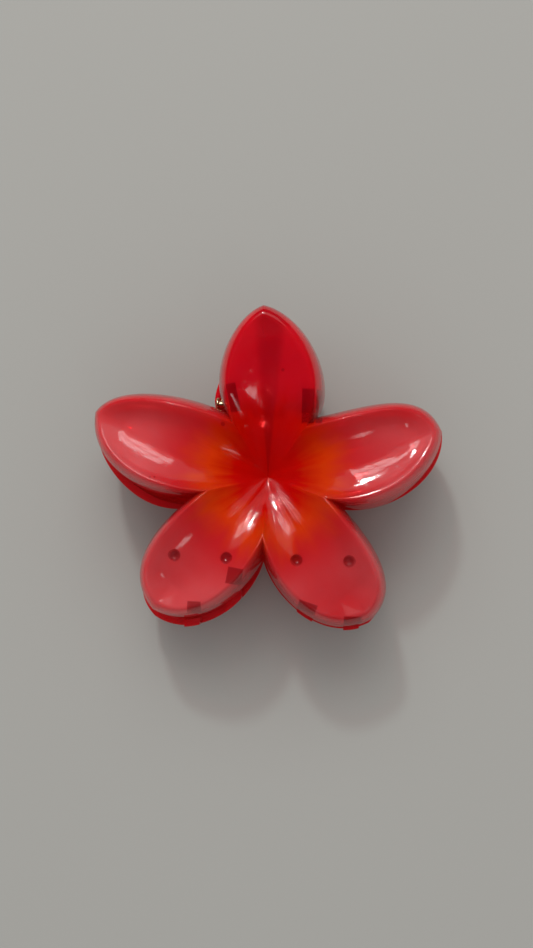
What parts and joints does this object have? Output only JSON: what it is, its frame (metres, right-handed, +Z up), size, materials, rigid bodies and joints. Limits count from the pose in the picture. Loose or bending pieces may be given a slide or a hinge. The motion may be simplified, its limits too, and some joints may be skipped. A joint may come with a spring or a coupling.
{
  "type": "flower hair claw clip",
  "caption": "Flower-shaped hair claw clip: hollow petalled jaws on a sprung hinge pin, toothed along the lower petals and opened by squeezing the upper petals.",
  "frame": {"origin": "on the surface the clip lies on, under the middle of its outline", "axes": "+Z up out of the front flower, +Y towards the finger levers, +X to the right as the front flower is seen, along the hinge"},
  "size_m": [0.0858, 0.077, 0.0369],
  "materials": {
    "petal_plastic": "high gloss, translucent, tinted orange and deep red at the throat",
    "pin_steel": "bright drawn, warm plating",
    "spring_steel": "bright drawn wire"
  },
  "bodies": {
    "back_half": {"back_flower_jaw": "petal_plastic", "hinge_pin": "pin_steel", "torsion_spring": "spring_steel"},
    "front_half": {"front_flower_jaw": "petal_plastic"}
  },
  "joints": [
    {"name": "jaw_hinge", "type": "hinge", "parent": "back_half", "child": "front_half", "pos_m": [-0.00001, 0.01673, 0.01721], "axis": [-1, 0, 0], "range_deg": [0, 48], "stiffness_Nm_per_rad": 0.2, "springref_deg": -40.11, "deforming": ["torsion_spring"]}
  ]
}
